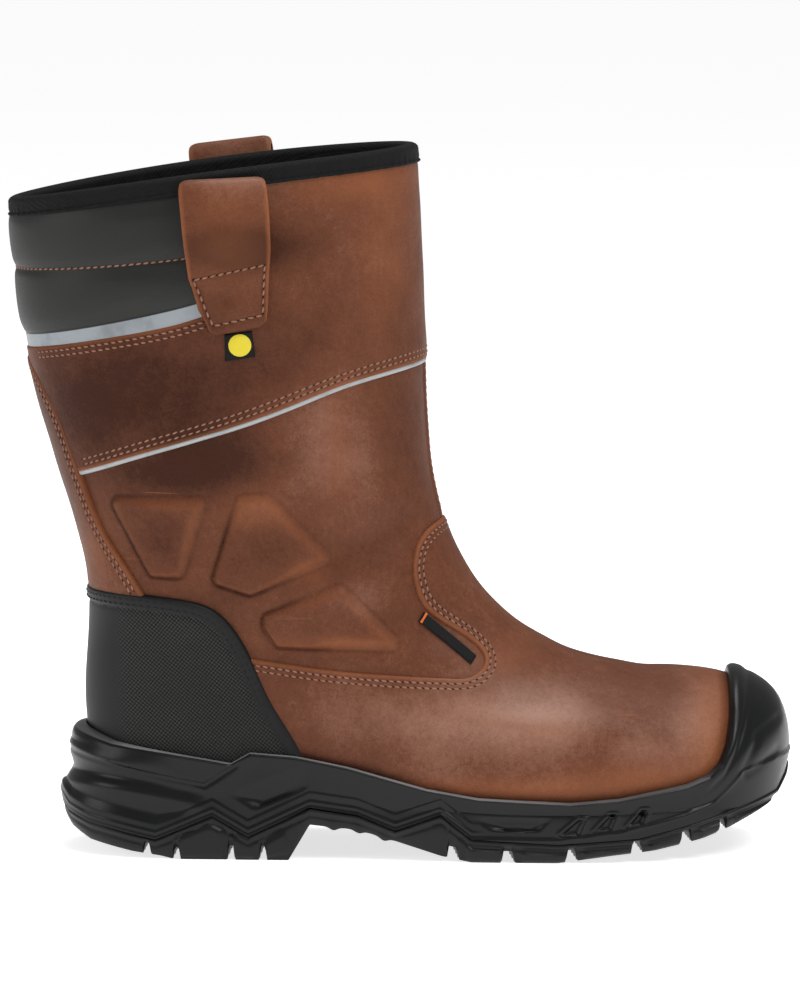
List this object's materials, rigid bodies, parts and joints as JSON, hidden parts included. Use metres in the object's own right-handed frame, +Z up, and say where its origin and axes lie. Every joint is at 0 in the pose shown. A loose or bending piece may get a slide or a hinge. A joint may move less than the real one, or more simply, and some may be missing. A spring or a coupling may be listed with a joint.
{
  "type": "safety boot",
  "caption": "Pull-on leather safety boot for the right foot, with pull loops, padded collar, reflective band, raised quarter pads, moulded toe bumper and lugged sole.",
  "frame": {"origin": "on the floor under the middle of the boot's length and width", "axes": "+X towards the toe, -Y towards the outer side, +Z up from the floor"},
  "size_m": [0.3317, 0.1316, 0.2999],
  "materials": {
    "brown_leather": "waxed pull-up leather, satin, lighter where it bends",
    "black_counter": "coated woven fabric with a coarse even grain",
    "black_rubber": "moulded satin sole",
    "black_padding": "soft smooth cover over foam",
    "reflective_tape": "grey reflective tape",
    "black_webbing": "woven tape",
    "footbed_felt": "needled felt"
  },
  "bodies": {
    "root": {"upper": "brown_leather", "insole": "footbed_felt", "midsole": "black_rubber", "outsole": "black_rubber", "vamp": "brown_leather", "heel_counter": "black_counter", "back_stay": "brown_leather", "shaft_panel": "brown_leather", "reflective_piping": "reflective_tape", "reflective_band": "reflective_tape", "collar_pad": "black_padding", "collar_binding": "black_webbing", "pull_loop_outer": "brown_leather", "pull_loop_inner": "brown_leather", "size_tag": "black_webbing", "side_flag": "black_webbing"}
  },
  "joints": []
}
